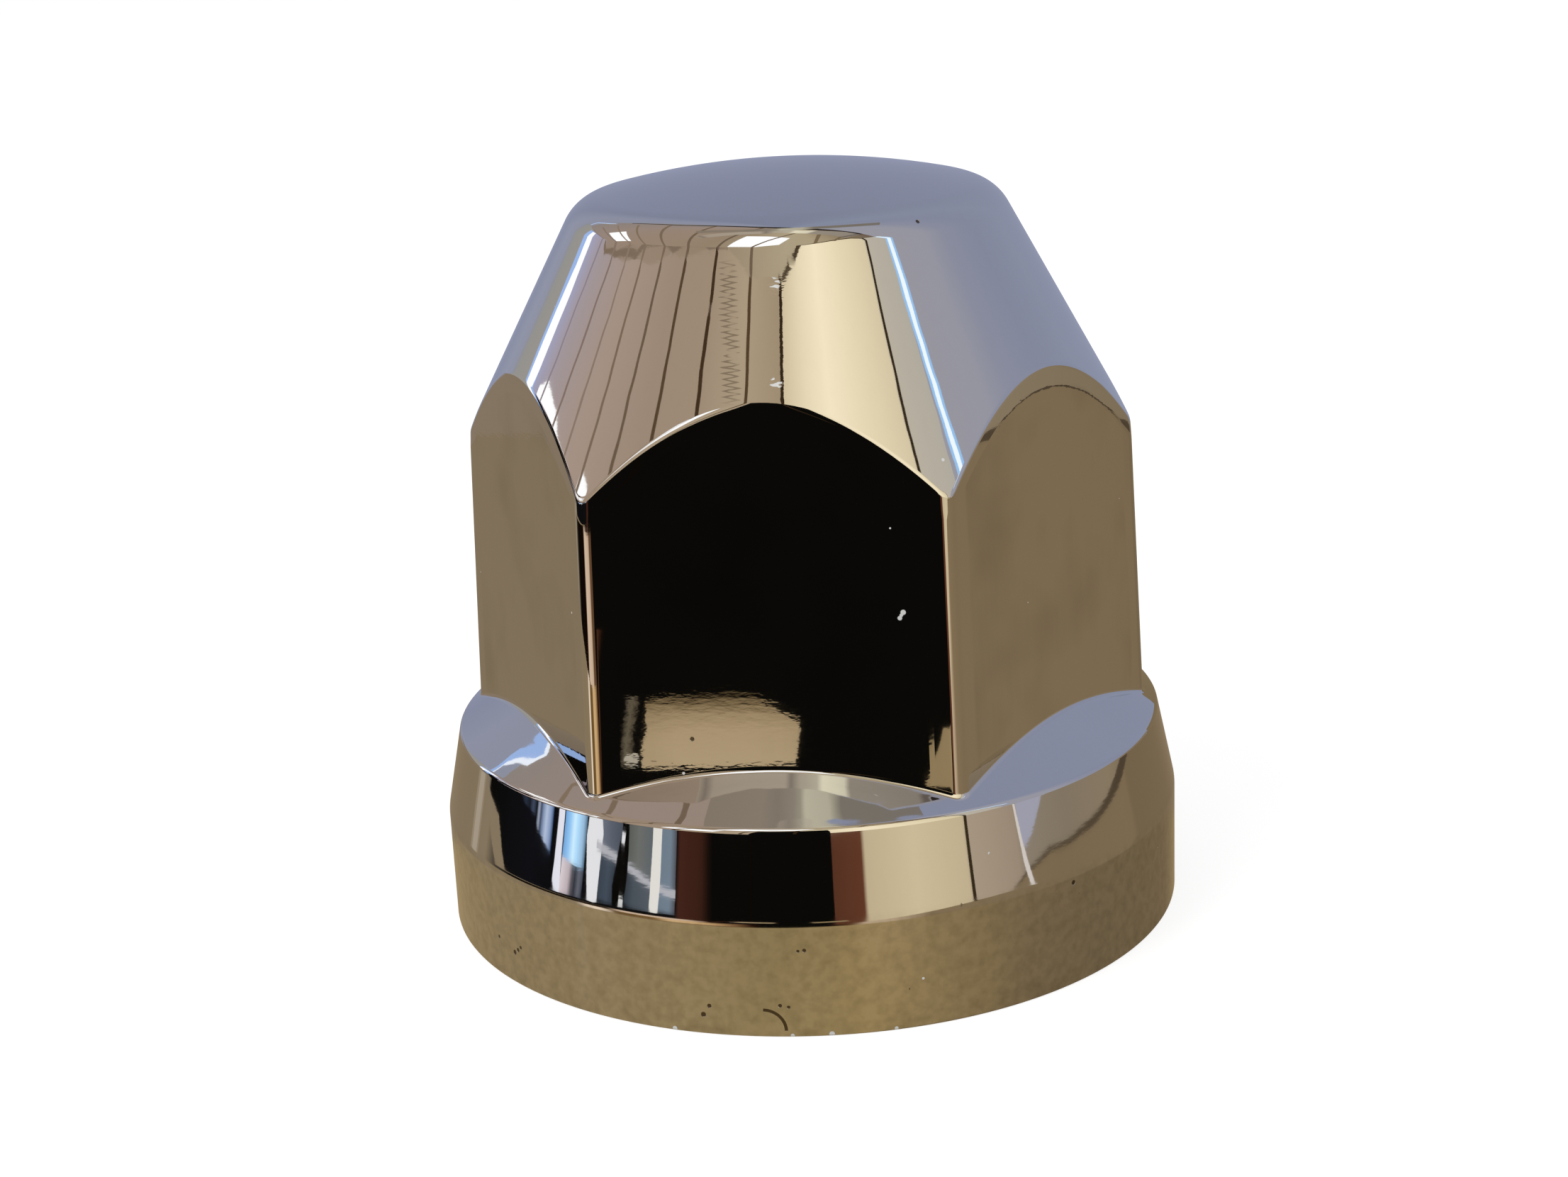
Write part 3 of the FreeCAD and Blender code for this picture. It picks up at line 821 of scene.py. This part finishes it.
ribbon("cornice", [(0.8, 47.2), (4.8, 47.6), (10.3, 47.9), (17, 48.9), (28, 51.1), (39.4, 53.1),
                   (49, 52.7), (54, 49)], (0.2, 0.25, 0.4, 0.8, 1.2, 1.4, 1.4, 1.0), (66, 52, 36))
ribbon("rail", [(-106, 24.3), (-103.7, 24.9), (-96, 28), (-82.6, 33), (-61.8, 39.5), (-41, 44.1),
                (-30, 45.9)], 0.25, (122, 105, 88))
for count, (start, end) in enumerate((((13, 17), (16, 36)), ((23, 17), (23, 31)))):
    ribbon(f"right_ceiling_seam_{count}", [overhead(*start), overhead(*end)], 1.5, (118, 100, 76))
ribbon("dark_line", [(-129, 44), (-126, 60), (-124, 89), (60, 80), (60.5, 66), (61, 57)],
       (0.8, 1.4, 2.8, 2.6, 2.2, 1.4), (44, 37, 34))

# %% Windows and lamps
ribbon("left_window_glow", [(-118, 2), (-118.5, 12), (-119.8, 15.5), (-120.6, 18), (-122, 24)],
       (6, 7.5, 7, 7, 5), (152, 180, 228))
ribbon("left_window", [(-119.5, 2), (-119.6, 12), (-119, 15.2), (-118.2, 16.2), (-118.4, 19), (-120, 24)],
       (3, 3.6, 4.2, 4, 4, 3), WHITE, layer=5)
ribbon("low_window_glow", [(-132.2, 24.5), (-132.9, 29.3), (-129.4, 35.2), (-128.2, 38.4)],
       (0.7, 0.7, 0.95, 0.8), (150, 176, 222))
ribbon("low_window", [(-131.9, 25), (-132.5, 29.3), (-129.0, 35), (-128, 37.8)], (0.18, 0.2, 0.34, 0.28),
       (232, 238, 248), layer=5)
ribbon("right_window_glow", [(71, 24), (69.7, 34), (68.3, 39), (66.5, 43), (62.5, 48)],
       (1.8, 2.9, 3.0, 2.8, 1.6), (150, 192, 234))
ribbon("right_window", [(71.2, 25), (69.7, 34), (68.3, 39), (66.5, 43), (62.7, 48)],
       (0.7, 1.3, 1.4, 1.4, 1.0), (238, 249, 255), layer=5)
panel("side_lamp", [(-99, 27.7), (-91, 34), (-110, 40.4), (-113, 31.5)], WHITE)
panel("front_lamp_left", [(-31, 46.6), (-13.5, 47.6), (-12, 70.4), (-35, 69.7)], WHITE)
panel("front_lamp_right", [(-13.5, 47.6), (0.5, 51.5), (8, 65.5), (-12, 70.4)], WHITE)
panel("low_lamp", [(-42, 19), (-25, 21), (-25, 40.5), (-42, 38)], WHITE)
panel("side_window", [(-91, 8), (-63, 8), (-64, 20.5), (-89, 19)], (244, 244, 246))
ribbon("bright_sill", [(-112, 16.6), (-108, 18.4), (-98, 21.9), (-90.6, 24.1), (-86.8, 25.3), (-84, 26.2)],
       (1.4, 1.6, 1.4, 1.3, 1.1, 0.4), WHITE)
panel("sill_patch", [(-79.2, 27.2), (-74.8, 27.8), (-74.2, 29.5), (-78.8, 28.6)], WHITE)
wall("dark_sill", (-118, -75), [(-118, -1), (-112, 0), (-100, 6), (-92, 10), (-90, 20.6), (-75, 21)],
     [(-118, 11.5), (-108, 14), (-100, 18.5), (-91, 22), (-84, 24.2), (-75, 25.8)], INK, layer=2)
wall("dark_front", (-13, 11.5), -22, 43, [(-13, 12, 8, 6), (-11.5, *INK), (11.5, *INK)], layer=1.5)

# %% What the front shoulder shows
# Two strips cross over the cap at 100 mm up. The lower rows of the shoulder look straight up at one of them.
# The upper rows look into the flat behind and up to the other, so that light bounces twice.
OVERHEAD = 100.0


def overhead_strip(name, path, half_width, bounces, stops):
    """A strip along places in millimetres, with its half width or widths laid off square to its way."""
    path, half_width = np.array(path, float), np.reshape(half_width, (-1, 1))
    ways = np.gradient(path, axis=0)
    aside = unit(np.stack((-ways[:, 1], ways[:, 0]), axis=1))
    sides = [np.column_stack((path + aside * half, np.full(len(path), OVERHEAD)))
             for half in (-half_width, half_width)]
    stand(name, np.stack(sides) * MM, stops, bounces)


overhead_strip("shoulder_view", [(-34, -26), (-20, -22.5), (0, -21), (12, -24), (24, -28.5), (34, -34.5)],
               (3.2, 3.2, 3.2, 3.7, 4.3, 4.6), 2, [
    (0, 128, 117, 103), (0.03, 104, 94, 84), (0.07, 132, 121, 108), (0.33, 135, 125, 112),
    (0.35, 104, 96, 87), (0.38, 137, 128, 114), (0.45, 148, 141, 125), (0.48, 184, 178, 157),
    (0.58, 174, 168, 148), (0.61, 120, 112, 102), (0.93, 116, 108, 99), (0.96, 84, 77, 70),
    (0.985, 84, 77, 70), (1, 134, 130, 130)])
overhead_strip("rim_view", [(-30, -13), (-16, -15.5), (-7.7, -16.1), (2.7, -15.7), (15.3, -12.5),
                            (23.4, -9.5), (32, -5)], 3.0, 1, [
    (0, 128, 117, 103), (0.22, 132, 121, 107), (0.31, 125, 115, 103), (0.40, 134, 125, 112),
    (0.43, 146, 139, 123), (0.455, 180, 174, 153), (0.55, 172, 166, 146), (0.60, 118, 111, 101),
    (1, 116, 109, 102)])

# %% [markdown]
# ### The lower half
#
# The leaning band looks at what stands round the table: a row of windows on the left, dark space in front and
# a pale wall on the right. Below runs the table's edge. The flats and the skirt see only the table.

# %% The level wall and the table
TABLE_EDGE = [(-180, -11), (-140, -10.5), (-125, -10.6), (-113, -9.8), (-106, -9.1), (-99, -9.4), (-90, -9.4),
              (-72, -9.8), (-45, -10), (14, -17), (22, -14.5), (30, -12.8), (38, -10), (47, -6.5), (55, -4.2),
              (63, -3.4), (72, -3.55), (80.7, -4.2), (93.1, -5.6), (105.6, -7.1), (116.3, -8.2), (125, -8.8),
              (135, -9.4), (180, -11)]
wall("level_wall", (-144, 146), -18, 2, [
    (-144, *LILAC), (-138, 126, 111, 93), (-116, 126, 112, 95), (-114.3, 118, 106, 90),
    (-113.5, *INK), (-88, 16, 16, 20), (-80, 12, 12, 14), (-35.2, 16, 14, 14),
    (-34.8, 66, 36, 27), (-27.5, 56, 31, 22), (-25.4, 26, 15, 11),
    (-24, *INK), (10.4, *INK), (11.2, 84, 49, 34), (20.4, 95, 55, 38), (21.2, 190, 173, 140),
    (36, 203, 186, 151), (52, 192, 175, 142), (53, 166, 150, 129), (69, 152, 136, 117),
    (71.5, 136, 124, 108), (89, 129, 116, 98),
    (100, 132, 118, 98), (111, 134, 119, 97), (122, 124, 109, 87), (138, 124, 109, 88),
    (146, *LILAC)])
wall("table", (-180, 180), -22, TABLE_EDGE, [
    (-180, 122, 107, 86), (-140, 121, 106, 85), (-128, 123, 108, 86), (-112, 130, 115, 94),
    (-75, 134, 117, 91), (-16, 80, 50, 30), (14, 60, 34, 16), (17, 90, 60, 36),
    (21, 186, 163, 134), (30, 170, 149, 121), (40, 128, 109, 82), (84, 121, 104, 78),
    (115, 122, 105, 79), (119.4, 121, 104, 78), (121.2, 113, 97, 73),
    (150, 113, 97, 74), (180, 122, 107, 86)], layer=1)
wall("table_nearby", (-180, 180), -90, -21.5, [
    (-180, 139, 121, 88), (-110, 138, 120, 89), (-60, 143, 124, 90), (-10, 143, 124, 86),
    (22, 150, 128, 86), (45, 136, 116, 80), (75, 115, 98, 71), (100, 109, 93, 69),
    (150, 108, 92, 68), (180, 139, 121, 88)], layer=2)
# A dark line along the table's far edge: a painted shadow under the edge.
ribbon("table_edge_shadow", [(66, -3.4), (72, -3.55), (80.7, -4.2), (93.1, -5.6), (105.6, -7.1), (112, -7.8),
                     (117, -8.3), (125, -8.9), (135, -9.4)],
       (0.08, 0.1, 0.13, 0.17, 0.22, 0.3, 0.45, 0.5, 0.4), (74, 62, 48), layer=3)

# %% Window panes and bars beside the band
wall("lilac_wedge", (70.6, 82), [(70.6, -2.9), (73.5, -3.05), (77, -2.95), (82, -2.6)], 1, (156, 156, 170),
     layer=1)
ribbon("streak_edge", [(-120.2, -9.6), (-120.0, -12), (-120.0, -13.6)], (5.6, 6.0, 4.6), (141, 127, 106),
       layer=3)
ribbon("light_streak", [(-120.0, -9.3), (-119.8, -12), (-119.8, -14)], (3.2, 3.6, 2.4), (158, 146, 128))
panel("blind_left", [(-87.2, -6.0), (-79.8, -5.5), (-79.4, -2), (-87, -3)], [
    (0, 30, 36, 46), (0.12, 150, 158, 176), (0.25, 60, 70, 92), (0.38, 120, 136, 166),
    (0.6, 176, 190, 214), (0.85, 130, 150, 186), (1, 36, 60, 96)])
panel("blind_dim", [(-96, -6.6), (-87.4, -5.8), (-87.4, -3), (-96, -4)], [
    (0, *INK), (0.35, 40, 48, 64), (0.6, 26, 28, 36), (0.8, 62, 72, 92), (1, 20, 22, 28)])
ribbon("bar_1", [(-76.1, -1), (-76.4, -4.5), (-76.4, -5.6), (-76.5, -6.2)], (2.2, 2.4, 2.8, 3.2),
       (224, 224, 234))
panel("blue_pane", [(-74.8, -4.85), (-66.2, -4.0), (-65.6, -0.4), (-74.6, -1.4)], [
    (0, 110, 160, 214), (0.25, 150, 200, 244), (0.45, 206, 238, 255), (0.6, 176, 220, 252),
    (0.85, 150, 184, 214), (1, 70, 100, 120)])
panel("low_pane", [(-75.2, -6.0), (-66.6, -5.0), (-66.2, -4.0), (-74.8, -4.85)], [
    (0, 216, 204, 208), (0.35, 186, 172, 176), (0.5, 92, 88, 94), (0.65, 48, 50, 58),
    (0.82, 96, 98, 108), (1, 60, 66, 78)])
ribbon("bar_2", [(-61.6, -1), (-62.6, -2.4), (-63.8, -4.4), (-64.2, -4.8)], (4.3, 4.5, 4.9, 4.9),
       (224, 224, 226))
panel("dim_pane", [(-61.4, -2.75), (-53, -2.2), (-53, 0), (-61.4, 0)], [
    (0, 110, 116, 128), (0.5, 90, 96, 108), (1, 76, 82, 92)])
panel("dark_pane", [(-61.6, -4.2), (-54, -3.5), (-53, -2.2), (-61.4, -2.75)], [
    (0, 54, 62, 72), (0.5, 66, 76, 88), (1, 34, 38, 46)])
panel("grey_pane", [(-52, -2.2), (-43, -1.8), (-43, 1), (-52, 1)], [
    (0, 84, 86, 82), (0.5, 106, 108, 104), (1, 94, 100, 104)])
panel("slate_pane", [(-53, -3.2), (-43, -2.65), (-43, -1.8), (-52, -2.2)], [
    (0, 40, 44, 50), (0.4, 72, 80, 88), (1, 84, 90, 98)])
panel("last_pane", [(-41.5, -2.3), (-35.3, -1.95), (-35.3, 1), (-41.5, 1)], [
    (0, 108, 122, 136), (0.7, 112, 126, 140), (1, 78, 78, 84)])
ribbon("ledge", [(-62, -2.82), (-54.8, -2.3), (-49.6, -1.99), (-43, -1.7), (-35.2, -1.3)],
       (0.22, 0.22, 0.18, 0.2, 0.22), (178, 178, 184), layer=5)
ribbon("bar_3", [(-53.2, -0.9), (-51.3, -1.25), (-51.6, -1.7), (-52.5, -2.25), (-53.8, -2.95), (-55.4, -3.8)],
       (0.7, 1.3, 1.9, 2.2, 2.0, 1.7), INK, layer=6)
panel("latch", [(-53.4, -1.75), (-52.3, -1.7), (-52.0, -1.3), (-53.2, -1.35)], (222, 222, 224), layer=7)
panel("bar_4", [(-53.6, -3.6), (-52, -3.5), (-51.9, -3.0), (-53.3, -3.1)], (206, 206, 204), layer=7)
ribbon("bar_5", [(-41.3, 1), (-41.5, -0.9), (-42.2, -2.6), (-42.4, -2.95)], (2.9, 2.9, 2.4, 2.4),
       (222, 219, 212), layer=7)
ribbon("pale_joint", [(69.3, 0.4), (70.2, -2), (71, -3), (72.4, -3.9), (74, -5)], 0.7, (206, 198, 190))

# %% What the left corner mirrors, between the left flat and the front one
wall("corner_high", (-112, -10), -14, -10.2, [
    (-112, 130, 115, 92), (-106, 70, 62, 52), (-98, *INK), (-58, 20, 8, 2),
    (-53, 205, 180, 155), (-32, 196, 170, 144), (-25, 94, 67, 45), (-16, 92, 66, 46),
    (-13, 50, 28, 14), (-10, *INK)], layer=2)
wall("corner_low", (-112, -10), -20, -14, [
    (-112, 128, 112, 86), (-70, 133, 116, 90), (-66, 225, 205, 181), (-60, 225, 205, 181),
    (-56, 102, 78, 43), (-43, 111, 81, 42), (-38, 202, 169, 123), (-25, 188, 153, 106),
    (-18, 122, 90, 58), (-13, 30, 5, 2), (-10, *INK)], layer=2)

# %% [markdown]
# A few small things lie close in front of the cap. They are drawn where they lie, just over the floor, and
# not on the ball, because the front flat is a nearly flat mirror and shows near things much larger. A low
# card stands close behind the cap too, where only the tip of the shoulder's right lens looks.

# %% Near things in front of the cap and behind it


def slip(name, corners, stops, height=0.15):
    """A flat card between four places on the floor in millimetres."""
    stand(name, between([np.array((x, y, height)) * MM for x, y in corners]), stops)


# A black card on the floor in front of the table, for the dark space that the front flat mirrors.
slip("black_sheet", [(-20, -56), (-58, -200), (3, -200), (10.4, -56)], INK, height=0.1)
slip("paper", [(-4.8, -72), (-6.4, -93), (-20.6, -93), (-17.4, -71)], [
    (0, 172, 151, 118), (0.45, 168, 146, 113), (0.7, 150, 129, 97), (0.85, 112, 94, 66),
    (1, 34, 26, 15)])
# Black slips over the paper's top corners: painted shade on the paper.
slip("paper_shade_right", [(-4.0, -80), (-4.0, -97), (-11.5, -97), (-11.0, -93.2)], INK, height=0.3)
slip("paper_shade_left", [(-14.0, -93.2), (-14.0, -97), (-21.5, -97), (-20.8, -90)], INK, height=0.3)
slip("grey_slip", [(-19.2, -71), (-17.7, -71), (-20.7, -91.6), (-22.3, -91.6)], [
    (0, 28, 24, 18), (0.35, 96, 87, 70), (0.6, 78, 69, 54), (0.75, *INK), (1, *INK)], height=0.2)
slip("grey_slip_tip", [(-18.8, -71.5), (-17.9, -71.5), (-18.1, -74), (-19.0, -74)], (170, 160, 142),
     height=0.25)
slip("copper", [(-20.9, -62), (-19.7, -62), (-28.4, -118), (-29.6, -118)], [
    (0, 84, 52, 34), (0.45, 70, 42, 28), (1, 14, 9, 6)])
slip("crumb", [(6.4, -66), (16, -64), (20, -83), (6.9, -82)], [(0, 140, 120, 86), (1, 148, 128, 92)])

rear_corners = np.array(((60, 40, 0), (5, 40, 0), (5, 40, 21), (60, 40, 21)))
stand("rear_ledge", between(rear_corners * MM), (115, 100, 76))

# %% [markdown]
# ## Floor, lamps and world
#
# The floor is pale and catches a soft shadow. It glows a little for the camera alone, so that it renders
# white without more light on the cap. The lamps are two soft panels that bring a plain white surface to
# about its own brightness.

# %% Floor
floor_mesh = bpy.data.meshes.new("floor")
floor_mesh.from_pydata([(-20, -20, 0), (20, -20, 0), (20, 20, 0), (-20, 20, 0)], [], [(0, 1, 2, 3)])
floor = add("floor", floor_mesh)
floor.visible_glossy = False
paint = Recipe("pale_floor")
to_camera = paint.make("LightPath", output="Is Camera Ray")
matt = paint.make("BsdfDiffuse", inputs={"Color": (0.5, 0.5, 0.5, 1)})
glow = paint.make("Emission", inputs={"Color": (1, 1, 1, 1), "Strength": to_camera * 0.70})
floor_mesh.materials.append(paint.finish(paint.make("AddShader", inputs={0: matt, 1: glow})))
paint.material.cycles.emission_sampling = "NONE"

# %% World and lamps
world = bpy.data.worlds.new("studio")
bpy.context.scene.world = world
world.use_nodes = True
sky = Recipe("sky", world.node_tree)
kinds = [sky.make("LightPath", output=kind)
         for kind in ("Is Camera Ray", "Is Glossy Ray", "Is Transmission Ray")]
shown = (kinds[0] + kinds[1] + kinds[2]).step(0.0, 1.0)
background = sky.make("Background", inputs={"Color": (1, 1, 1, 1), "Strength": 0.55 + shown * 0.45})
sky.make("OutputWorld", inputs={"Surface": background})

for name, x, y, z, size, power in (("key", -0.5, -0.4, 0.7, 0.5, 3.0), ("fill", 0.6, -0.3, 0.5, 0.6, 1.2)):
    soft_panel = bpy.data.lights.new(name, "AREA")
    soft_panel.size, soft_panel.energy = size, power
    lamp = add(name, soft_panel)
    lamp.location = (x, y, z)
    lamp.rotation_euler = (Vector((0, 0, 0.025)) - lamp.location).to_track_quat("-Z", "Y").to_euler()
    lamp.visible_glossy = False
bpy.context.scene.view_settings.view_transform = "Standard"
